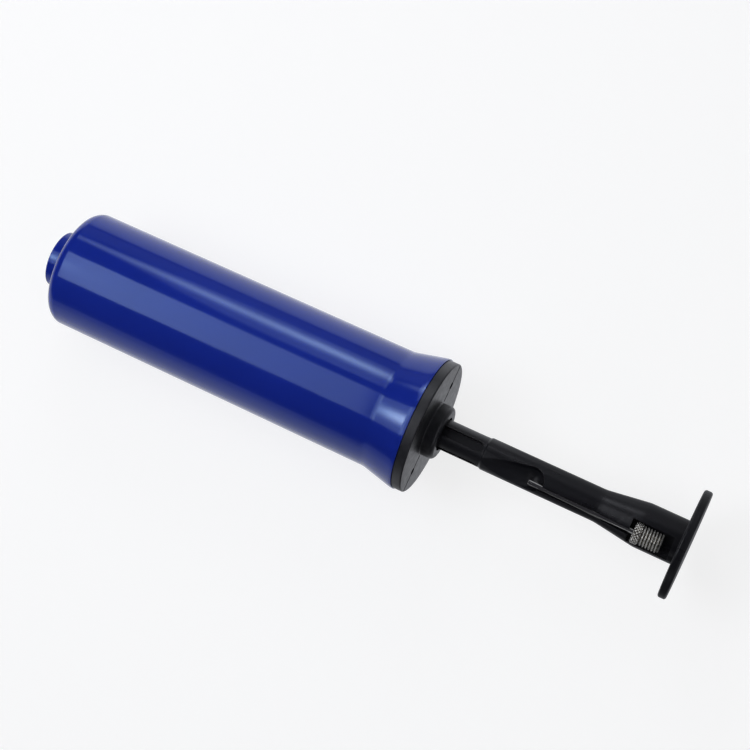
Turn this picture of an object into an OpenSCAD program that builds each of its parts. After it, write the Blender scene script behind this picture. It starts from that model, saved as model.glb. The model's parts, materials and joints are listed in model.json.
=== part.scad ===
// Hand pump for balls, lying along +X: nozzle face at the origin, push disc at the far end.
// The needle pocket in the handle opens towards +Z. Millimetres.

/* [Barrel] */
// Outside diameter of the barrel at its nozzle end
barrel_d = 40; // [39:0.5:44]
// Outside diameter where the flare begins
barrel_waist_d = 40.6; // [40:0.1:44]
// Outside diameter of the open mouth
mouth_d = 45.9; // [45.5:0.1:48]
// Distance from the nozzle face to the mouth
mouth_x = 137.8; // [130:0.1:160]
// Length of the flare behind the mouth
flare_len = 12.6; // [11:0.1:16]
// Diameter of the cylinder bore that the piston runs in
bore_d = 35.6; // [34:0.1:36]
// Radius of the shoulder at the nozzle end
shoulder_r = 4.3; // [2:0.1:5]
// Thickness of the end wall
end_wall = 2.5; // [2:0.1:3]

/* [Nozzle] */
// Outside diameter of the nozzle boss
boss_d = 19.3; // [16:0.1:22]
// Height of the nozzle boss above the end wall
boss_h = 6.2; // [6:0.1:7]
// Diameter of the nozzle hole before its thread is cut
nozzle_hole_d = 5.4; // [5:0.1:5.8]
// Depth of the threaded part of the nozzle hole
nozzle_hole_len = 7.2; // [7:0.1:7.4]

/* [Cap] */
// Diameter of the cap's rim
cap_d = 45.2; // [44:0.1:46]
// Thickness of the cap's rim
cap_t = 3.3; // [2.4:0.1:4]
// Diameter of the collar round the rod
collar_d = 18.3; // [16:0.1:20]
// Height of the collar above the cap
collar_h = 4.5; // [3.8:0.1:6]
// Diameter of the hole in the collar
collar_bore_d = 11.7; // [11.6:0.05:12]
// Diameter of the two vent holes
vent_d = 2.8; // [1.5:0.1:3]
// Distance of each vent hole from the axis
vent_off = 15.2; // [12.6:0.1:15.4]

/* [Plunger] */
// Diameter of the plain part of the rod
rod_d = 11; // [10.6:0.1:11.2]
// Diameter of the fluted part of the rod
fluted_d = 10.3; // [9.8:0.1:10.5]
// Width of each flute
flute_w = 3.4; // [2.5:0.1:3.6]
// Diameter of the neck under the push disc
neck_d = 15.05; // [14.6:0.05:17]
// Diameter of the push disc
disc_d = 36.7; // [30:0.1:44]
// Thickness of the push disc
disc_t = 2.8; // [2:0.1:4]
// Travel of the plunger from the modelled place to fully in
travel_in = 55; // [40:1:55]

/* [Needle] */
// Diameter of the needle's stem
stem_d = 2.1; // [1.8:0.1:2.3]
// Length of the stem in front of the knurled collar
stem_len = 36.6; // [34:0.1:37]
// Outside diameter of the needle's thread
thread_d = 6.4; // [6:0.1:6.6]
// Pitch of the needle's thread
thread_pitch = 1; // [0.9:0.05:1.1]
// Diameter of the knurled collar
knurl_d = 7.05; // [6.8:0.05:7.1]

/* [Hidden] */
$fn = 96;

blue = [0.07, 0.12, 0.55];
black = [0.10, 0.10, 0.11];
rubber = [0.16, 0.16, 0.17];
nickel = [0.78, 0.76, 0.70];
natural = [0.86, 0.86, 0.82];

eps = 0.05;            // overlap between a cutter and the face that it cuts through
fit_gap = 0.05;        // running clearance
press_gap = 0.02;      // clearance of a pressed or sealing fit
edge = 0.6;            // small moulded edge rounds
margin = 1;            // by how much a cutting box stands clear of what it cuts
ramp_steps = 16;       // straight steps in a flare

// Inside the nozzle end, along X
end_x = boss_h;
floor_x = end_x + end_wall;
gasket_t = 1.2;
gasket_d = 6.7;
gasket_hole_d = 3;
port_d = 2.4;
port_len = 1;
chamber_x = nozzle_hole_len + gasket_t + port_len;
chamber_d = 9;
chamber_len = 3;
rib_h = 1;
rib_w = 0.9;
rib_from_port = 0.3;
seat_t = 2;
seat_port_d = 2;
hub_wall = 2;
hub_x = chamber_x + chamber_len + seat_t;
valve_t = 1;
valve_d = 7.4;

// Mouth end, along X
flare_x = mouth_x - flare_len;
spigot_d = 38.8;
spigot_len = 8.4;
spigot_wall = 1.4;
snap_h = 0.45;
snap_x = mouth_x - 4.4;
snap_len = 1.2;
mouth_gap = 0.1;
cap_in_x = mouth_x + mouth_gap;
cap_out_x = cap_in_x + cap_t;
collar_x = cap_out_x + collar_h;
collar_edge = 1.5;
collar_foot = 0.4;
guide_len = 6;
groove_d = 0.7;
pin_d = 1.4;
pin_len = 1.5;
pin_end_gap = 0.1;
pin_off = 11.3;

// Piston, in its modelled place part of the way along the bore
piston_gap = 0.6;
piston_clearance = 0.2;
piston_x = hub_x + piston_gap + travel_in;
piston_len = 12;
piston_back_x = piston_x + piston_len;
piston_d = bore_d - 2 * piston_clearance;
ring_t = 3.2;
ring_travel = 0.8;
ring_d = bore_d - 2 * press_gap;
ring_root_gap = 0.4;
ring_root_d = ring_d - 2 * (ring_t + ring_root_gap);
front_flange = 3;
ring_slot = ring_t + ring_travel + 2 * fit_gap;
ring_x = piston_x + front_flange + fit_gap + ring_travel + ring_t / 2;
notch_w = 3;
notches = 6;
notch_below_ring = 0.6;
core_wall = 3;
tail_d = 7.9;
barb_d = 9.2;
barb_len = 2.2;
barb_room_d = 10.8;
barb_room = 3.2;
barb_tip_d = 7;
barb_land = 0.6;
barb_x = piston_x + barb_room - fit_gap - barb_len;
barb_slit = 1.2;
barb_slit_end_x = piston_x + 6;

// Rod, along X
fluted_out = 14.5;
step_x = collar_x + fluted_out;
step_len = 0.7;
flute_from_piston = 4;
flute_start_x = piston_back_x + flute_from_piston;
flute_end_gap = 0.3;
flute_end_x = step_x - flute_end_gap;
flute_floor = 2.6;
flute_turn = -13;
plain_len = 39.4;
flare_start_x = step_x + plain_len;
neck_flare_len = 16.3;
flare_end_x = flare_start_x + neck_flare_len;
neck_len = 12.2;
disc_x = flare_end_x + neck_len;
neck_foot = 0.3;
disc_edge = 0.9;

// Needle in its clip: place of the knurled collar's tip-side face, and the way it lies
knurl_to_disc = 14.6;
needle_x = disc_x - knurl_to_disc;
needle_y = -2.95;
needle_z = 4.4;
needle_yaw = -0.75;
needle_pitch = 2.6;
lift_tilt = 25;
knurl_len = 2.45;
threads = 7;
thread_len = threads * thread_pitch;
thread_depth = 0.61 * thread_pitch;
// one turn of the thread: [share of the pitch, share of the depth]
thread_turn = [[0.05, 0], [0.4, 1], [0.55, 1], [0.9, 0]];
knurl_edge = 0.35;
tube_in = 4.5;
tip_r = 0.7;
stem_bore_d = 1.2;
base_bore_d = 3;
side_hole_d = 1;
side_hole_x = 3.2;
pocket_low = 3.75;
pocket_high = 3.85;
pocket_back = 1.4;
pocket_front = 3.3;
pocket_depth = 3.8;
scoop_r = 4.25;
scoop_len = 22;
scoop_tilt = 14.4;
scoop_yaw = 11;
scoop_depth = 1.95;
scoop_from_tip = 5.2;
scoop_off = 0.85;

// Turns a profile drawn as [radius, x] about the pump's axis
module lathe() {
    rotate([0, 90, 0])
        rotate_extrude(convexity = 8) children();
}

// The sliver between a square corner and the arc that rounds it
module sliver(r) {
    difference() {
        square(r + eps);
        translate([r, r]) circle(r);
        translate([r, 0]) square(r + 2 * eps);
        translate([0, r]) square(r + 2 * eps);
    }
}

// A rounded cut at the outer corner [radius, x]; way is -1 when the solid lies beyond x, 1 when before it
module edge_cut(radius, x, r, way) {
    translate([radius + eps, x + way * eps]) mirror([1, 0]) mirror([0, max(way, 0)]) sliver(r + eps);
}

// A rounded foot in the inner corner [radius, x]; way is 1 when the open side is towards +X
module foot(radius, x, r, way) {
    translate([radius, x]) mirror([0, max(-way, 0)])
        difference() {
            translate([-eps, -eps]) square(r + eps);
            translate([r, r]) circle(r);
        }
}

// A straight bar along X with round ends, that a radial cutter of the given width leaves
module slot_bar(x0, x1, width, height) {
    translate([x0 + width / 2, -width / 2, 0]) cube([x1 - x0 - width, width, height]);
    for (x = [x0 + width / 2, x1 - width / 2])
        translate([x, 0, 0]) cylinder(d = width, h = height);
}

// 0 to 1 with rounded ends, straight between them
function eased(u, k = 0.12) =
    u < k ? u * u / (2 * k * (1 - k))
    : u > 1 - k ? 1 - (1 - u) * (1 - u) / (2 * k * (1 - k))
    : (u - k / 2) / (1 - k);

// Profile points of a flare that eases from radius r0 at x0 to r1 at x1
function ramp(x0, x1, r0, r1) =
    [for (i = [0:ramp_steps]) [r0 + (r1 - r0) * eased(i / ramp_steps), x0 + (x1 - x0) * i / ramp_steps]];

// The needle's own frame: its axis is X and its knurled collar begins at the origin
module at_needle() {
    translate([needle_x, needle_y, needle_z]) rotate([0, -needle_pitch, needle_yaw]) children();
}

module barrel_outside() {
    difference() {
        polygon(concat(
            [[0, 0], [boss_d / 2, 0], [boss_d / 2, end_x], [barrel_d / 2, end_x]],
            ramp(flare_x, mouth_x, barrel_waist_d / 2, mouth_d / 2),
            [[0, mouth_x]]));
        edge_cut(boss_d / 2, 0, edge, -1);
        edge_cut(barrel_d / 2, end_x, shoulder_r, -1);
    }
    foot(boss_d / 2, end_x, edge, -1);
}

module barrel_inside() {
    // cylinder bore round the valve hub, then the wider mouth with its snap groove
    difference() {
        translate([0, floor_x]) square([bore_d / 2, mouth_x - floor_x + eps]);
        translate([0, floor_x - eps]) square([chamber_d / 2 + hub_wall, hub_x - floor_x + eps]);
    }
    translate([0, mouth_x - spigot_len - mouth_gap])
        square([spigot_d / 2 + fit_gap, spigot_len + mouth_gap + eps]);
    translate([0, snap_x - fit_gap])
        square([spigot_d / 2 + snap_h + fit_gap, snap_len + 2 * fit_gap]);
    // threaded hole, gasket recess, port and valve chamber
    translate([0, -eps]) square([nozzle_hole_d / 2, nozzle_hole_len + 2 * eps]);
    translate([0, nozzle_hole_len]) square([gasket_d / 2, gasket_t]);
    translate([0, nozzle_hole_len]) square([port_d / 2, gasket_t + port_len + eps]);
    translate([0, chamber_x]) square([chamber_d / 2, chamber_len + seat_t + eps]);
}

module barrel() {
    color(blue) {
        lathe() difference() {
            barrel_outside();
            barrel_inside();
        }
        // ribs that hold the valve disc off the port, so that air passes under it
        for (a = [45:90:315])
            rotate([a, 0, 0])
                translate([chamber_x - eps, -rib_w / 2, port_d / 2 + rib_from_port])
                    cube([rib_h + eps, rib_w, chamber_d / 2 - port_d / 2]);
    }
}

module nozzle_gasket() {
    color(rubber) lathe()
        translate([gasket_hole_d / 2, nozzle_hole_len + fit_gap / 2])
            square([(gasket_d - gasket_hole_d) / 2 - fit_gap, gasket_t - fit_gap]);
}

module valve_disc() {
    color(rubber) lathe()
        translate([0, chamber_x + chamber_len - valve_t - fit_gap]) square([valve_d / 2, valve_t]);
}

module valve_seat() {
    color(natural) lathe()
        translate([seat_port_d / 2, chamber_x + chamber_len])
            square([(chamber_d - seat_port_d) / 2 - press_gap, seat_t]);
}

module cap_profile() {
    difference() {
        union() {
            translate([0, cap_in_x]) square([cap_d / 2, cap_t]);
            translate([0, cap_in_x - guide_len]) square([collar_d / 2, collar_x - cap_in_x + guide_len]);
            foot(collar_d / 2, cap_out_x, collar_foot, 1);
            translate([spigot_d / 2 - spigot_wall, cap_in_x - spigot_len])
                square([spigot_wall, spigot_len + eps]);
            translate([spigot_d / 2 - eps, snap_x]) square([snap_h + eps, snap_len]);
        }
        edge_cut(cap_d / 2, cap_out_x, edge, 1);
        edge_cut(collar_d / 2, collar_x, collar_edge, 1);
        translate([0, cap_in_x - guide_len - eps])
            square([collar_bore_d / 2, collar_x - cap_in_x + guide_len + 2 * eps]);
    }
}

// The whole cap, with its vents and with the fine groove where its halves meet
module cap() {
    difference() {
        lathe() cap_profile();
        for (side = [-1, 1])
            translate([cap_in_x - eps, side * vent_off, 0]) rotate([0, 90, 0])
                cylinder(d = vent_d, h = cap_t + 2 * eps);
        for (side = [0, 1])
            mirror([0, side, 0]) translate([cap_out_x, collar_d / 2 + collar_foot, 0])
                rotate([0, 45, 0]) translate([-groove_d / 2, 0, -groove_d / 2])
                    cube([groove_d, cap_d / 2, groove_d]);
    }
}

// The space on one side of the joint between the halves; side is 1 for +Z
module half_space(side) {
    half = cap_d / 2 + margin;
    translate([cap_in_x - spigot_len - margin, -half, side > 0 ? 0 : -half])
        cube([spigot_len + cap_t + collar_h + 2 * margin, 2 * half, half]);
}

// The pins that line the halves up, or their holes, from z0 to z1
module cap_pins(d, z0, z1) {
    for (side = [-1, 1])
        translate([cap_in_x + cap_t / 2, side * pin_off, z0]) cylinder(d = d, h = z1 - z0);
}

module cap_upper_half() {
    color(black) difference() {
        intersection() {
            cap();
            half_space(1);
        }
        cap_pins(pin_d + 2 * fit_gap, -eps, pin_len + pin_end_gap);
    }
}

module cap_lower_half() {
    color(black) {
        intersection() {
            cap();
            half_space(-1);
        }
        cap_pins(pin_d, -margin, pin_len);
    }
}

module piston_head() {
    slot_x = piston_x + front_flange;
    color(black) difference() {
        lathe() difference() {
            translate([0, piston_x]) square([piston_d / 2, piston_len]);
            // ring groove
            translate([ring_root_d / 2, slot_x]) square([piston_d, ring_slot]);
            // hollow behind the front web
            translate([tail_d / 2 + core_wall, slot_x])
                square([ring_root_d / 2 - core_wall / 2 - tail_d / 2 - core_wall, piston_len]);
            // bore for the rod's tail, and room for its barb
            translate([0, piston_x - eps]) square([tail_d / 2 + fit_gap, piston_len + 2 * eps]);
            translate([0, piston_x - eps]) square([barb_room_d / 2, barb_room + eps]);
        }
        // notches that let air past the ring on the drawing stroke
        for (i = [0:notches - 1])
            rotate([i * 360 / notches, 0, 0])
                translate([piston_x - eps, -notch_w / 2, ring_root_d / 2 - notch_below_ring])
                    cube([front_flange + 2 * eps, notch_w, piston_d / 2]);
    }
}

module piston_o_ring() {
    color(rubber) lathe()
        translate([(ring_d - ring_t) / 2, ring_x]) circle(d = ring_t);
}

module rod_profile() {
    polygon(concat(
        [[0, barb_x], [barb_tip_d / 2, barb_x], [barb_d / 2, barb_x + barb_len - barb_land],
         [barb_d / 2, barb_x + barb_len], [tail_d / 2, barb_x + barb_len],
         [tail_d / 2, piston_back_x + fit_gap],
         [fluted_d / 2, piston_back_x + fit_gap], [fluted_d / 2, step_x], [rod_d / 2, step_x + step_len]],
        ramp(flare_start_x, flare_end_x, rod_d / 2, neck_d / 2),
        [[neck_d / 2, disc_x + eps], [0, disc_x + eps]]));
    foot(neck_d / 2, disc_x, neck_foot, -1);
    // push disc with well rounded edges
    difference() {
        translate([0, disc_x]) square([disc_d / 2, disc_t]);
        edge_cut(disc_d / 2, disc_x, disc_edge, -1);
        edge_cut(disc_d / 2, disc_x + disc_t, disc_edge, 1);
    }
}

// The finger scoop: a tilted bullet that deepens towards the needle's tip and ends in a round wall
module scoop() {
    translate([scoop_from_tip - stem_len - scoop_r, scoop_off, scoop_r - scoop_depth]) {
        rotate([0, scoop_tilt - 90, scoop_yaw]) cylinder(r = scoop_r, h = scoop_len);
        sphere(r = scoop_r);
    }
}

// What is cut from the plunger to hold the needle
module needle_room() {
    half_w = stem_d / 2 + fit_gap;
    reach = 2 * neck_d;
    at_needle() {
        // channel for the stem, tilted the way the needle lifts out
        rotate([lift_tilt, 0, 0]) translate([-stem_len - margin, -half_w, -half_w])
            cube([stem_len + margin, 2 * half_w, reach]);
        // pocket for the base
        translate([-pocket_back, -pocket_low, -pocket_depth])
            cube([pocket_back + knurl_len + thread_len + pocket_front, pocket_low + pocket_high, reach]);
        scoop();
    }
}

module plunger() {
    color(black) difference() {
        lathe() rod_profile();
        for (a = [0:90:270])
            rotate([flute_turn + a, 0, 0]) translate([0, 0, flute_floor])
                slot_bar(flute_start_x, flute_end_x, flute_w, fluted_d);
        // slit that lets the barb spring through the piston
        translate([barb_x - eps, -barb_slit / 2, -barb_d])
            cube([barb_slit_end_x - barb_x + eps, barb_slit, 2 * barb_d]);
        needle_room();
    }
}

module needle_tube() {
    color(nickel) at_needle() difference() {
        translate([-stem_len, 0, 0]) lathe() difference() {
            square([stem_d / 2, stem_len + tube_in]);
            edge_cut(stem_d / 2, 0, tip_r, -1);
            translate([0, side_hole_x]) square([stem_bore_d / 2, stem_len + tube_in]);
        }
        // side hole that lets the air out near the tip
        translate([side_hole_x + side_hole_d / 2 - stem_len, 0, -stem_d])
            cylinder(d = side_hole_d, h = stem_d);
    }
}

module needle_base() {
    root_r = thread_d / 2 - thread_depth;
    color(nickel) at_needle() lathe() difference() {
        union() {
            square([knurl_d / 2, knurl_len]);
            translate([0, knurl_len - eps]) square([root_r, thread_len + eps]);
            for (i = [0:threads - 1])
                translate([root_r, knurl_len + i * thread_pitch])
                    polygon(concat([[-eps, thread_turn[0][0] * thread_pitch]],
                                   [for (p = thread_turn) [p[1] * thread_depth, p[0] * thread_pitch]],
                                   [[-eps, thread_turn[3][0] * thread_pitch]]));
        }
        edge_cut(knurl_d / 2, 0, knurl_edge, -1);
        edge_cut(knurl_d / 2, knurl_len, knurl_edge, 1);
        translate([0, -eps]) square([stem_d / 2 + press_gap, tube_in + 2 * eps]);
        translate([0, tube_in]) square([base_bore_d / 2, knurl_len + thread_len]);
    }
}

barrel();
nozzle_gasket();
valve_disc();
valve_seat();
cap_upper_half();
cap_lower_half();
piston_head();
piston_o_ring();
plunger();
needle_tube();
needle_base();
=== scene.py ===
import json
import math

import bpy
import numpy as np
from mathutils import Matrix, Vector


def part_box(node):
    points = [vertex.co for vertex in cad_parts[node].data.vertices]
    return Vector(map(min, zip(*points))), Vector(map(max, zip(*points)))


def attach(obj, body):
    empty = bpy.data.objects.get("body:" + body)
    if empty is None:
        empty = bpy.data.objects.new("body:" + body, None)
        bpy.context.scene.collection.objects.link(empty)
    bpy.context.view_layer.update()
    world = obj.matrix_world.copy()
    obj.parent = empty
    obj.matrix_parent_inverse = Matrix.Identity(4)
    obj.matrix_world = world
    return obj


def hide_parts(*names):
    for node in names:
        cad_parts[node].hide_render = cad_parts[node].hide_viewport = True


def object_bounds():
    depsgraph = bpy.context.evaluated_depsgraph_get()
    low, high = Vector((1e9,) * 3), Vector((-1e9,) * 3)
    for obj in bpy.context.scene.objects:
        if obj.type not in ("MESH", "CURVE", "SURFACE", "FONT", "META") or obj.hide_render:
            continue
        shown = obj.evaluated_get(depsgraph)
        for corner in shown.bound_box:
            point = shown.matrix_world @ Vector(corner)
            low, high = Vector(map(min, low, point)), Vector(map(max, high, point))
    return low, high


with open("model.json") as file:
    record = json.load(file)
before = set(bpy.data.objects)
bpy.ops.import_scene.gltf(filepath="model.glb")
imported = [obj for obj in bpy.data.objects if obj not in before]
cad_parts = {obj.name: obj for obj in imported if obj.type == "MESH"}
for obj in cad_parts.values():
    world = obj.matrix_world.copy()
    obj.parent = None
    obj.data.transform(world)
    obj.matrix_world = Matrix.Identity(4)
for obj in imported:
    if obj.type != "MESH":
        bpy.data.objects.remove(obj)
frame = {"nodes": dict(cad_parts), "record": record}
cad_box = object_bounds()

MM = 0.001
TAU = 2 * math.pi

# ---------------------------------------------------------------- places from the frame
FLOOR_GAP = 0.2 * MM
nodes = frame["nodes"]
pump_low, pump_high = cad_box
floor_z = pump_low.z - FLOOR_GAP
axis_mid = Vector(((pump_low.x + pump_high.x) / 2, 0, 0))


# ---------------------------------------------------------------- node helpers
COLOUR_A, COLOUR_B, COLOUR_OUT = 6, 7, 2  # the colour sockets of a Mix node


def rgb(red, green, blue):
    return red, green, blue, 1


class Nodes:
    """A node tree, with short calls for the nodes that the materials and the stage use."""

    def __init__(self, tree):
        self.tree = tree

    def put(self, value, target):
        """Links a socket to the target, or stores a plain value in it."""
        if isinstance(value, bpy.types.NodeSocket):
            self.tree.links.new(value, target)
        else:
            target.default_value = value

    def add(self, kind, inputs=None, **settings):
        """A new node with these settings, and with values or sockets put into its inputs."""
        node = self.tree.nodes.new(kind)
        for key, value in settings.items():
            setattr(node, key, value)
        for key, value in (inputs or {}).items():
            self.put(value, node.inputs[key])
        return node

    def maths(self, operation, first, second):
        return self.add("ShaderNodeMath", {0: first, 1: second}, operation=operation).outputs[0]

    def product(self, first, *others):
        for other in others:
            first = self.maths("MULTIPLY", first, other)
        return first

    def spread(self, value, between, to=(0, 1), easing="LINEAR"):
        """value moved from one range (between) to another (to), and held at its ends."""
        inputs = {"Value": value, "From Min": between[0], "From Max": between[1],
                  "To Min": to[0], "To Max": to[1]}
        return self.add("ShaderNodeMapRange", inputs, interpolation_type=easing).outputs["Result"]

    def eased(self, value, between, to=(0, 1)):
        """Like spread, with a smooth start and end."""
        return self.spread(value, between, to, easing="SMOOTHSTEP")

    def tint(self, amount, first, second):
        """The first colour at 0, the second at 1."""
        inputs = {"Factor": amount, COLOUR_A: first, COLOUR_B: second}
        return self.add("ShaderNodeMix", inputs, data_type="RGBA").outputs[COLOUR_OUT]

    def blend(self, amount, first, second):
        """The first shader at 0, the second at 1."""
        return self.add("ShaderNodeMixShader", {0: amount, 1: first, 2: second}).outputs[0]

    def emission(self, colour, strength):
        return self.add("ShaderNodeEmission", {"Color": colour, "Strength": strength}).outputs[0]


class Material(Nodes):
    """A new material and its node tree."""

    def __init__(self, name):
        self.material = bpy.data.materials.new(name)
        self.material.use_nodes = True
        super().__init__(self.material.node_tree)


class Surface(Material):
    """A material on the Principled shader."""

    EDGE_SAMPLES = 6
    EDGE_LEAN = (0.995, 0.8)  # cosine of the rounded normal's lean, where the paler edge (partly wear, partly painted highlight) starts and where it is full

    def __init__(self, name):
        super().__init__(name)
        self.main = self.tree.nodes["Principled BSDF"]
        self.place = self.add("ShaderNodeTexCoord").outputs["Object"]
        self.normal = None

    def set(self, **values):
        """Puts values or sockets into the shader's inputs, with _ for each blank in their names."""
        for key, value in values.items():
            self.put(value, self.main.inputs[key.replace("_", " ")])

    def noise(self, scale, detail=3, stretch=None):
        """Noise in the object's own place. A stretch below 1 draws it out along that direction."""
        place = self.place
        if stretch:
            place = self.add("ShaderNodeMapping", {"Vector": place, "Scale": stretch}).outputs["Vector"]
        inputs = {"Vector": place, "Scale": scale, "Detail": detail}
        return self.add("ShaderNodeTexNoise", inputs).outputs["Fac"]

    def edge_wear_and_highlight(self, colour, wear_and_highlight_colour, radius, amount):
        """A paler colour on sharp edges, partly wear and partly a painted highlight, found by how far a
        rounded normal leans from the true one.
        The rounded normal is kept for bump(), so that the edges catch the light."""
        self.normal = self.add("ShaderNodeBevel", {"Radius": radius},
                               samples=self.EDGE_SAMPLES).outputs["Normal"]
        true_normal = self.add("ShaderNodeNewGeometry").outputs["Normal"]
        lean = self.add("ShaderNodeVectorMath", {0: self.normal, 1: true_normal}, operation="DOT_PRODUCT")
        # mask for the paler edge colour: partly wear, partly a painted highlight
        wear_and_highlight_mask = self.spread(lean.outputs["Value"], self.EDGE_LEAN)
        return self.tint(self.product(wear_and_highlight_mask, amount), colour, wear_and_highlight_colour)

    def bump(self, height, strength, distance):
        """Adds a bump layer over the ones before it."""
        inputs = {"Height": height, "Strength": strength, "Distance": distance}
        if self.normal:
            inputs["Normal"] = self.normal
        self.normal = self.add("ShaderNodeBump", inputs).outputs["Normal"]
        self.set(Normal=self.normal)


# ---------------------------------------------------------------- the pump's materials
def blue_plastic():
    """Glossy moulded plastic: faint waviness, fine rub marks along the barrel, paler edges that are partly
    wear and partly painted highlight.
    """
    s = Surface("blue_plastic")
    clouds = s.spread(s.noise(scale=35, detail=2), between=(0.3, 0.7))
    rubs = s.spread(s.noise(scale=160, detail=4, stretch=(0.06, 1, 1)), between=(0.58, 0.76))
    smudges = s.spread(s.noise(scale=22), between=(0.35, 0.75), to=(0.10, 0.15))
    colour = s.tint(clouds, rgb(0.0086, 0.0245, 0.290), rgb(0.0098, 0.0275, 0.320))
    # paler edges here are partly wear and partly a painted highlight
    s.set(Base_Color=s.edge_wear_and_highlight(colour, rgb(0.06, 0.10, 0.50), radius=0.35 * MM, amount=0.3),
          Roughness=s.maths("ADD", s.product(rubs, 0.05), smudges),
          Specular_IOR_Level=0.5, Specular_Tint=rgb(0.40, 0.66, 1.0), Coat_Weight=0.2, Coat_Roughness=0.05)
    s.bump(s.noise(scale=70, detail=2), strength=0.38, distance=0.15 * MM)
    s.bump(rubs, strength=0.05, distance=0.01 * MM)
    return s.material


def cap_plastic():
    """Satin black moulding with the fine spark grain of its mould."""
    s = Surface("black_cap_plastic")
    coarse = s.noise(scale=600, detail=2)
    colour = s.tint(s.spread(coarse, between=(0.35, 0.65)),
                    rgb(0.011, 0.0115, 0.014), rgb(0.016, 0.0165, 0.020))
    # paler edges here are partly wear and partly a painted highlight
    s.set(Base_Color=s.edge_wear_and_highlight(colour, rgb(0.05, 0.05, 0.055), radius=0.3 * MM, amount=0.3),
          Roughness=s.spread(coarse, between=(0.3, 0.7), to=(0.34, 0.44)),
          Specular_IOR_Level=0.62)
    s.bump(s.noise(scale=2600, detail=2), strength=0.3, distance=0.03 * MM)
    s.bump(coarse, strength=0.2, distance=0.05 * MM)
    return s.material


def rod_plastic():
    """Semi-gloss black moulding with faint flow marks and rub marks along the rod."""
    s = Surface("black_rod_plastic")
    flow = s.noise(scale=90, stretch=(0.25, 1, 1))
    rubs = s.spread(s.noise(scale=300, detail=4, stretch=(0.05, 1, 1)), between=(0.55, 0.72))
    colour = s.tint(s.spread(flow, between=(0.3, 0.7)),
                    rgb(0.0065, 0.0065, 0.0085), rgb(0.010, 0.010, 0.0125))
    gloss = s.spread(flow, between=(0.3, 0.7), to=(0.26, 0.34))
    # paler edges here are partly wear and partly a painted highlight
    s.set(Base_Color=s.edge_wear_and_highlight(colour, rgb(0.045, 0.045, 0.05), radius=0.16 * MM, amount=0.2),
          Roughness=s.maths("ADD", gloss, s.product(rubs, 0.12)),
          Specular_IOR_Level=0.41)
    s.bump(flow, strength=0.12, distance=0.10 * MM)
    s.bump(rubs, strength=0.08, distance=0.01 * MM)
    return s.material


def nickel():
    """Nickel plate over turned brass: fine tool marks, scuffed crests, and roots darkened with painted
    shade. A turned mesh carries the crest value; any other mesh reads as a root."""
    s = Surface("nickel")
    crest = s.add("ShaderNodeAttribute", attribute_name="crest").outputs["Fac"]
    patches = s.noise(scale=400)
    bright = s.tint(s.spread(patches, between=(0.35, 0.7)), rgb(0.97, 0.95, 0.90), rgb(0.88, 0.86, 0.80))
    # The dark colour where the crest value is low is painted shade in the roots of the thread and knurl
    # and in the bore.
    s.set(Base_Color=s.tint(s.spread(crest, between=(0.05, 0.6)), rgb(0.22, 0.20, 0.165), bright),
          Roughness=s.spread(patches, between=(0.3, 0.7), to=(0.16, 0.24)),
          Metallic=s.spread(crest, between=(0.4, 1.0), to=(0.98, 0.70)),
          Sheen_Weight=s.spread(crest, between=(0.2, 0.8), to=(0.1, 1.0)),
          Sheen_Roughness=0.4, Sheen_Tint=rgb(1.0, 0.98, 0.93))
    s.bump(s.noise(scale=1500, detail=2, stretch=(1, 0.02, 0.02)), strength=0.10, distance=0.005 * MM)
    return s.material


def polished_tube():
    """Drawn and polished tube: nearly a mirror, with faint draw lines along it and a little haze."""
    s = Surface("polished_tube")
    haze = s.noise(scale=250)
    s.set(Base_Color=s.tint(s.spread(haze, between=(0.35, 0.7)),
                            rgb(0.88, 0.87, 0.84), rgb(0.78, 0.77, 0.73)),
          Roughness=s.spread(haze, between=(0.3, 0.7), to=(0.06, 0.12)),
          Metallic=1.0)
    s.bump(s.noise(scale=2500, detail=2, stretch=(0.02, 1, 1)), strength=0.10, distance=0.003 * MM)
    return s.material


def rubber():
    """Matte black rubber with a fine dusty bloom."""
    s = Surface("black_rubber")
    bloom = s.noise(scale=700, detail=4)
    s.set(Base_Color=s.tint(s.spread(bloom, between=(0.4, 0.7)),
                            rgb(0.016, 0.016, 0.017), rgb(0.035, 0.034, 0.033)),
          Roughness=s.spread(bloom, between=(0.3, 0.7), to=(0.62, 0.82)))
    s.bump(s.noise(scale=1800), strength=0.3, distance=0.03 * MM)
    return s.material


def natural_plastic():
    """Unpainted nylon, slightly waxy."""
    s = Surface("natural_plastic")
    mottle = s.noise(scale=500)
    s.set(Base_Color=s.tint(s.spread(mottle, between=(0.35, 0.65)),
                            rgb(0.70, 0.68, 0.60), rgb(0.78, 0.76, 0.69)),
          Roughness=s.spread(mottle, between=(0.3, 0.7), to=(0.38, 0.52)),
          Subsurface_Weight=0.15, Subsurface_Radius=(0.8 * MM, 0.7 * MM, 0.5 * MM))
    s.bump(s.noise(scale=2200, detail=2), strength=0.2, distance=0.02 * MM)
    return s.material


MATERIALS = {
    "blue_plastic": blue_plastic(),
    "black_cap_plastic": cap_plastic(),
    "black_rod_plastic": rod_plastic(),
    "nickel": nickel(),
    "black_rubber": rubber(),
    "natural_plastic": natural_plastic(),
}


def paint(node, material):
    for slot in node.material_slots:
        slot.material = material


for part in frame["record"]["subparts"]:
    paint(nodes[part["node"]], MATERIALS[part["material_slot"]])
paint(nodes["needle_tube"], polished_tube())


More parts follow.
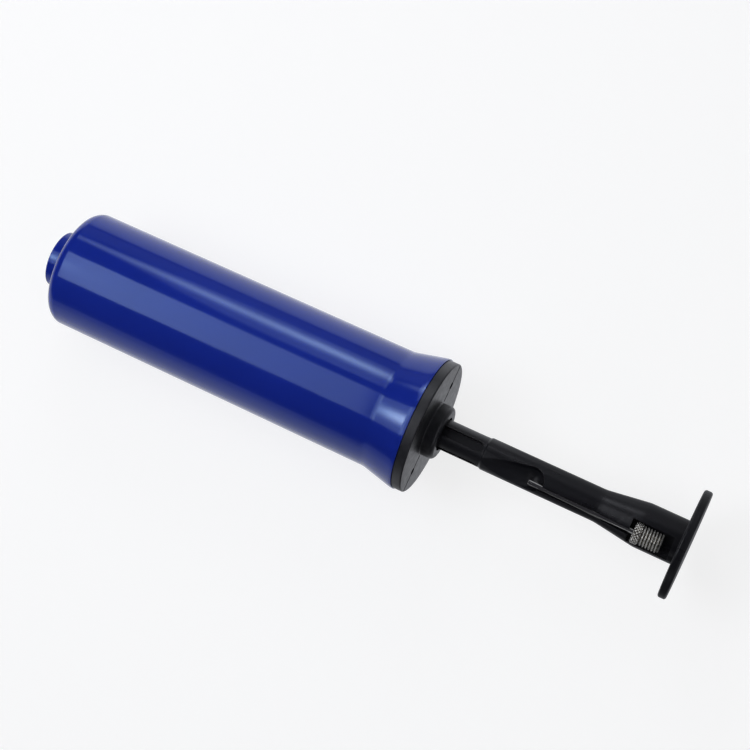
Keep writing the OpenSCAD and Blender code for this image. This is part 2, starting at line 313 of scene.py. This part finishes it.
# ---------------------------------------------------------------- the needle's knurled and threaded base
KNURL_D = 7.05 * MM
KNURL_LEN = 2.45 * MM
KNURL_BEVEL = 0.35 * MM
KNURL_COUNT = 18  # grooves round the knurl, in each of its two directions
KNURL_DEPTH = 0.4 * MM
KNURL_PITCH = 1.15 * MM  # length along the axis in which a groove passes on to the next one's place
KNURL_SLOPE = 1.5  # steepness of a groove's sides; above 1 leaves a flat on each diamond
THREAD_D = 6.4 * MM
THREAD_PITCH = 1 * MM
THREADS = 7
THREAD_DEPTH = 0.61 * MM
THREAD_START = 0.4 * THREAD_PITCH  # length in which the thread rises out of the knurl's end
FLANK_SLOPE = 2.9  # rise of a thread's flank over one pitch, in thread depths
FLANK_PEAK = 1.25  # height at which its two flanks would meet; the crest is cut flat at 1
THREAD_ROOT_D = THREAD_D - 2 * THREAD_DEPTH
BASE_LEN = KNURL_LEN + THREADS * THREAD_PITCH
BASE_BORE_D = 3 * MM
TUBE_SEAT_D = 2.12 * MM
TUBE_SEAT_LEN = 4.5 * MM
AROUND = 260  # corners in each ring of the mesh
ROW_STEP = 0.06 * MM
SHARP_EDGE = math.radians(40)


def turned_axis(node):
    """Centre and direction (towards +X) of a turned part, estimated from the spread of its corners.
    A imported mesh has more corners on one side, which leaves the needle's base about 5 degrees off."""
    corners = np.array([corner.co for corner in node.data.vertices])
    centre = corners.mean(axis=0)
    spreads, directions = np.linalg.eigh(np.cov((corners - centre).T))
    lone = int(np.argmax(np.abs(spreads - np.median(spreads))))
    direction = Vector(directions[:, lone])
    return Vector(centre), direction if direction.x > 0 else -direction


def zigzag(value):
    """0 at whole numbers, 1 half-way between them."""
    return 1 - abs(2 * (value % 1) - 1)


def knurl_point(x, turn):
    """Radius and crest value on a diamond knurl: two sets of crossing grooves, bevelled at both ends."""
    slant = x / KNURL_PITCH
    height = min(zigzag(turn * KNURL_COUNT + slant), zigzag(turn * KNURL_COUNT - slant))
    crest = min(1.0, KNURL_SLOPE * height)
    inset = max(KNURL_BEVEL - x, x - (KNURL_LEN - KNURL_BEVEL), 0)
    return min(KNURL_D / 2 - KNURL_DEPTH * (1 - crest), KNURL_D / 2 - inset), crest


def thread_point(x, turn):
    """Radius and crest value on a right-hand helical thread, cut back by a bevel at its free end."""
    along = ((x - KNURL_LEN) / THREAD_PITCH - turn) % 1
    started = min(1.0, (x - KNURL_LEN) / THREAD_START)
    crest = started * min(1.0, max(0.0, FLANK_PEAK - FLANK_SLOPE * abs(along - 0.5)))
    return THREAD_ROOT_D / 2 + min(THREAD_DEPTH * crest, BASE_LEN - x), crest


def bore_point(diameter):
    """Radius and crest value inside the base, the same at every turn."""
    return lambda x, turn: (diameter / 2, 0.0)


def steps(start, end, step):
    """Evenly spaced values from start to end, about one step apart."""
    count = round((end - start) / step)
    return [start + (end - start) * i / count for i in range(count + 1)]


def base_rows():
    """The outline of the base as rings (x, point function), outside and back through its bore."""
    rows = [(x, knurl_point) for x in steps(0, KNURL_LEN, ROW_STEP)]
    rows += [(x, thread_point) for x in steps(KNURL_LEN, BASE_LEN, ROW_STEP)]
    corners = ((BASE_LEN, BASE_BORE_D), (TUBE_SEAT_LEN, BASE_BORE_D), (TUBE_SEAT_LEN, TUBE_SEAT_D),
               (0, TUBE_SEAT_D))
    return rows + [(x, bore_point(diameter)) for x, diameter in corners]


def ring_faces(rows, around):
    """Faces between neighbouring rings, the last ring joined to the first."""
    faces = []
    for j in range(rows):
        here, beyond = j * around, (j + 1) % rows * around
        for i in range(around):
            k = (i + 1) % around
            faces.append((here + i, here + k, beyond + k, beyond + i))
    return faces


def base_start(centre, along):
    """Centre of the base's knurled end. The highest X of the CAD base is the rim of its free end,
    which leans by the needle's slant."""
    rim_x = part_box("needle_base")[1].x
    lean = math.sqrt(1 - along.x * along.x) * THREAD_ROOT_D / 2
    return centre + along * ((rim_x - lean - centre.x) / along.x - BASE_LEN)


def base_mesh(start, along):
    across = Vector((0, 1, 0)) - along * along.y
    across.normalize()
    third = along.cross(across)
    rows = base_rows()
    points, crests = [], []
    for x, point_at in rows:
        for i in range(AROUND):
            turn = i / AROUND
            radius, crest = point_at(x, turn)
            outward = across * math.cos(TAU * turn) + third * math.sin(TAU * turn)
            points.append(start + along * x + outward * radius)
            crests.append(crest)
    mesh = bpy.data.meshes.new("needle_base_turned")
    mesh.from_pydata(points, [], ring_faces(len(rows), AROUND))
    mesh.attributes.new("crest", "FLOAT", "POINT").data.foreach_set("value", crests)
    mesh.shade_smooth()
    mesh.set_sharp_from_angle(angle=SHARP_EDGE)
    return mesh


def add_object(name, data):
    thing = bpy.data.objects.new(name, data)
    bpy.context.scene.collection.objects.link(thing)
    return thing


def add_needle_base():
    centre, along = turned_axis(nodes["needle_base"])
    mesh = base_mesh(base_start(centre, along), along)
    mesh.materials.append(MATERIALS["nickel"])
    piece = add_object("needle_base_turned", mesh)
    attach(piece, "needle")
    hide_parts("needle_base")


add_needle_base()


# ---------------------------------------------------------------- floor
FLOOR_HALF = 3.0
FLOOR_SHINE = 0.72  # share of the floor's look that is its own light, not paint


class StageMaterial(Material):
    """A material without the Principled shader, for the floor and the light panels."""

    def __init__(self, name):
        super().__init__(name)
        self.tree.nodes.clear()
        self.out = self.add("ShaderNodeOutputMaterial")

    def finish(self, shader):
        self.put(shader, self.out.inputs["Surface"])
        return self.material


def floor_material():
    """A pale sweep. The camera sees it nearly white with soft shadows. In reflections it glows with
    painted light, brighter on the window's side and fading with distance and past the cap, with a painted
    shadow of the rod beside the rod, and it isn't there from below."""
    s = StageMaterial("floor_paint")
    white_paint = s.add("ShaderNodeBsdfDiffuse", {"Color": rgb(0.9, 0.9, 0.9)}).outputs[0]
    shown = s.blend(FLOOR_SHINE, white_paint, s.emission(rgb(1, 1, 1), strength=1.10))
    geometry = s.add("ShaderNodeNewGeometry")
    position = geometry.outputs["Position"]
    apart = s.add("ShaderNodeSeparateXYZ", {0: position})
    x, y = apart.outputs["X"], apart.outputs["Y"]
    under_pump = (axis_mid.x, 0, floor_z)
    reach = s.add("ShaderNodeVectorMath", {0: position, 1: under_pump}, operation="DISTANCE")
    # In reflections the floor's glow is painted light: brighter on the window's side, fading with distance
    # and past the cap.
    window_side = s.eased(y, between=(-0.12, 0.12), to=(0.66, 0.98))
    distance_fade = s.eased(reach.outputs["Value"], between=(0.15, 0.9), to=(1.0, 0.32))
    past_cap = s.eased(x, between=(0.148, 0.168), to=(1.0, 0.36))
    # A painted shadow of the rod on the floor's glow, on the rod's -Y side.
    beside_rod = s.product(s.eased(y, between=(-0.045, -0.025), to=(0.65, 0.0)),
                           s.eased(x, between=(0.115, 0.14)))
    rod_shade = s.eased(beside_rod, between=(0.0, 1.0), to=(1.0, 0.0))
    mirrored = s.emission(rgb(0.92, 0.94, 1.0), s.product(window_side, distance_fade, past_cap, rod_shade))
    to_camera = s.add("ShaderNodeLightPath").outputs["Is Camera Ray"]
    clear = s.add("ShaderNodeBsdfTransparent").outputs[0]
    return s.finish(s.blend(geometry.outputs["Backfacing"], s.blend(to_camera, mirrored, shown), clear))


def add_stage_mesh(name, points, faces, material):
    mesh = bpy.data.meshes.new(name)
    mesh.from_pydata(points, [], faces)
    mesh.materials.append(material)
    thing = add_object(name, mesh)
    return thing


def add_floor():
    corners = [(axis_mid.x + side_x * FLOOR_HALF, side_y * FLOOR_HALF, floor_z)
               for side_x, side_y in ((-1, -1), (1, -1), (1, 1), (-1, 1))]
    add_stage_mesh("floor", corners, [(0, 1, 2, 3)], floor_material())


# ---------------------------------------------------------------- light panels
# Each panel bends round the pump's axis. Along the axis it has a span in metres, across it an arc in
# degrees from +Z towards +Y, and it fades out over its ends and its rims.
PANEL_DISTANCE = 0.5  # from the axis to the panels that the barrel mirrors sharply
WALL_DISTANCE = 0.8  # from the axis to the large dim panels
PANEL_ROWS = 80
PANEL_COLUMNS = 28


def turned_up(degrees):
    """The direction square to the pump's axis, so many degrees from +Z towards +Y."""
    angle = math.radians(degrees)
    return Vector((0, math.sin(angle), math.cos(angle)))


def bell(value, centre, width):
    return math.exp(-0.5 * ((value - centre) / width) ** 2)


def soft_step(value, start, end):
    """0 up to start, 1 from end on, and a smooth passage between them."""
    u = min(1.0, max(0.0, (value - start) / (end - start)))
    return u * u * (3 - 2 * u)


def part_way(first, second, amount):
    """The first value at 0, the second at 1."""
    return first + (second - first) * amount


def faded(value, limits, fades):
    """1 between two limits, going to 0 over a fade inside each; a fade of 0 leaves that end sharp."""
    low = soft_step(value - limits[0], 0, fades[0]) if fades[0] else 1
    high = soft_step(limits[1] - value, 0, fades[1]) if fades[1] else 1
    return low * high


def fixed(value):
    """A function that gives the same value everywhere."""
    return lambda *place: value


def panel_material():
    """Light of the strength stored at each corner, on the side that faces the pump."""
    s = StageMaterial("panel_light")
    glow = s.add("ShaderNodeAttribute", attribute_name="glow").outputs["Fac"]
    shine = s.emission(rgb(0.91, 0.93, 1.0), glow)
    dark = s.emission(rgb(1, 1, 1), 0.0)
    return s.finish(s.blend(s.add("ShaderNodeNewGeometry").outputs["Backfacing"], shine, dark))


def add_panel(name, distance, span, arc_at, strength_at, ends=(0, 0), rims=(0, 0)):
    """arc_at(x) gives the arc, strength_at(x, degrees) the brightness before the fades."""
    points, glows = [], []
    for i in range(PANEL_ROWS + 1):
        x = part_way(*span, i / PANEL_ROWS)
        arc = arc_at(x)
        for j in range(PANEL_COLUMNS + 1):
            degrees = part_way(*arc, j / PANEL_COLUMNS)
            points.append(Vector((x, 0, 0)) + turned_up(degrees) * distance)
            glows.append(strength_at(x, degrees) * faded(x, span, ends) * faded(degrees, arc, rims))
    faces = []
    for i in range(PANEL_ROWS):
        for j in range(PANEL_COLUMNS):
            k = i * (PANEL_COLUMNS + 1) + j
            faces.append((k, k + PANEL_COLUMNS + 1, k + PANEL_COLUMNS + 2, k + 1))
    panel = add_stage_mesh(name, points, faces, panel_material())
    panel.data.attributes.new("glow", "FLOAT", "POINT").data.foreach_set("value", glows)
    panel.visible_camera = False
    first = panel.data.polygons[0]
    if first.normal.dot(first.center) > 0:
        panel.data.flip_normals()


def front_arc(x):
    """The lower rim drops away towards the nozzle's side."""
    low, high = -29, 19.5
    bend_x = -0.02
    drop_per_metre = 16.7
    return low + drop_per_metre * min(0.0, x - bend_x), high


def front_strength(x, degrees):
    """Brighter towards the nozzle's side, then dimmer where the bright heart of its lamp stands out."""
    rise_x, rise_length = -0.029, 0.168
    rise_per_metre = 8.3
    rising = 1.8 + rise_per_metre * min(rise_length, max(0.0, rise_x - x))
    dimmed = 1 - 0.6 * soft_step(x, -0.195, -0.215)
    lamp = 21.0 * bell(x, centre=-0.234, width=0.011) * bell(degrees, centre=-6.5, width=6.2)
    return rising * dimmed + lamp


def upper_arc(x):
    """Wider towards the handle."""
    opened = soft_step(x, -0.205, -0.071)
    return part_way(50, 32, opened), part_way(62, 74, opened)


def upper_strength(x, degrees):
    """A soft bright line inside a dimmer strip, both stronger towards the handle."""
    near = soft_step(x, -0.188, -0.088)
    nearest = soft_step(x, -0.088, -0.004)
    strip = 0.25 + 0.65 * near + 0.2 * nearest
    line = (1.6 + 2.2 * near + 1.6 * nearest) * bell(degrees, centre=54.5, width=3.5 + near)
    return strip + line


def side_arc(x):
    """Reaches down to the height of the pump's axis, and higher up towards the handle."""
    return part_way(58, 32, soft_step(x, -0.1, 0.05)), 90


def needle_strength(x, degrees):
    """Lights the metal from the -Y side, less so where the stem runs deep under the flare."""
    return 0.36 * (1 - 0.9 * bell(x, centre=0.163, width=0.008))


def add_panels():
    add_panel("front_panel", PANEL_DISTANCE, (-0.59, 0.023), front_arc, front_strength, ends=(0.13, 0.012))
    add_panel("upper_panel", PANEL_DISTANCE, (-0.205, 0.0235), upper_arc, upper_strength, rims=(0, 6))
    add_panel("side_panel", WALL_DISTANCE, (-0.60, 0.75), side_arc, fixed(0.30),
              ends=(0, 0.3), rims=(12, 5))
    add_panel("low_panel", WALL_DISTANCE, (-0.60, 0.02), fixed((-95, -80)), fixed(0.5),
              ends=(0, 0.1), rims=(0, 8))
    add_panel("needle_panel", WALL_DISTANCE, (0.08, 0.32), fixed((-89, -50)), needle_strength,
              ends=(0.04, 0), rims=(5, 15))
    add_panel("end_panel", WALL_DISTANCE, (0.60, 1.3), fixed((-86, 60)), fixed(0.8),
              ends=(0.2, 0), rims=(16, 30))


# ---------------------------------------------------------------- fill light, camera and world
def add_fill():
    """A wide overhead light that lifts the colours without showing in reflections."""
    light = bpy.data.lights.new("fill", "AREA")
    light.shape = "RECTANGLE"
    light.size = 1.6
    light.size_y = 1.4
    light.energy = 5.6
    light.color = (0.94, 0.97, 1.0)
    lamp = add_object("fill", light)
    lamp.location = axis_mid + Vector((-0.15, 0.25, 1.3))
    lamp.visible_camera = False
    lamp.visible_glossy = False


CAMERA_TILT = math.radians(12.5)
CAMERA_ROLL = math.radians(24.44)
CAMERA_DISTANCE = 568.7 * MM
CAMERA_AIM = axis_mid + Vector((1.26, 8.15, 0)) * MM


def add_camera():
    """Looks down on the pump from a little towards the handle, rolled about its own line of sight."""
    data = bpy.data.cameras.new("camera")
    data.sensor_width = 36
    data.lens = 83.66
    data.clip_start = 0.01
    data.clip_end = 20
    back = Vector((math.sin(CAMERA_TILT), 0, math.cos(CAMERA_TILT)))
    along = Vector((math.cos(CAMERA_TILT), 0, -math.sin(CAMERA_TILT)))
    up = Vector((0, 1, 0))
    right = along * math.cos(CAMERA_ROLL) + up * math.sin(CAMERA_ROLL)
    top = up * math.cos(CAMERA_ROLL) - along * math.sin(CAMERA_ROLL)
    turn = Matrix((right, top, back)).transposed().to_4x4()
    camera = add_object("camera", data)
    camera.matrix_world = Matrix.Translation(CAMERA_AIM + back * CAMERA_DISTANCE) @ turn
    bpy.context.scene.camera = camera


def add_world():
    """Pale to the camera, dim in reflections and as light."""
    world = bpy.data.worlds.new("studio")
    world.use_nodes = True
    s = Nodes(world.node_tree)
    to_camera = s.add("ShaderNodeLightPath").outputs["Is Camera Ray"]
    colour = s.tint(to_camera, rgb(0.025, 0.025, 0.03), rgb(0.90, 0.91, 0.92))
    s.put(colour, s.tree.nodes["Background"].inputs["Color"])
    bpy.context.scene.world = world


add_floor()
add_panels()
add_fill()
add_camera()
add_world()
bpy.context.scene.view_settings.view_transform = "Standard"
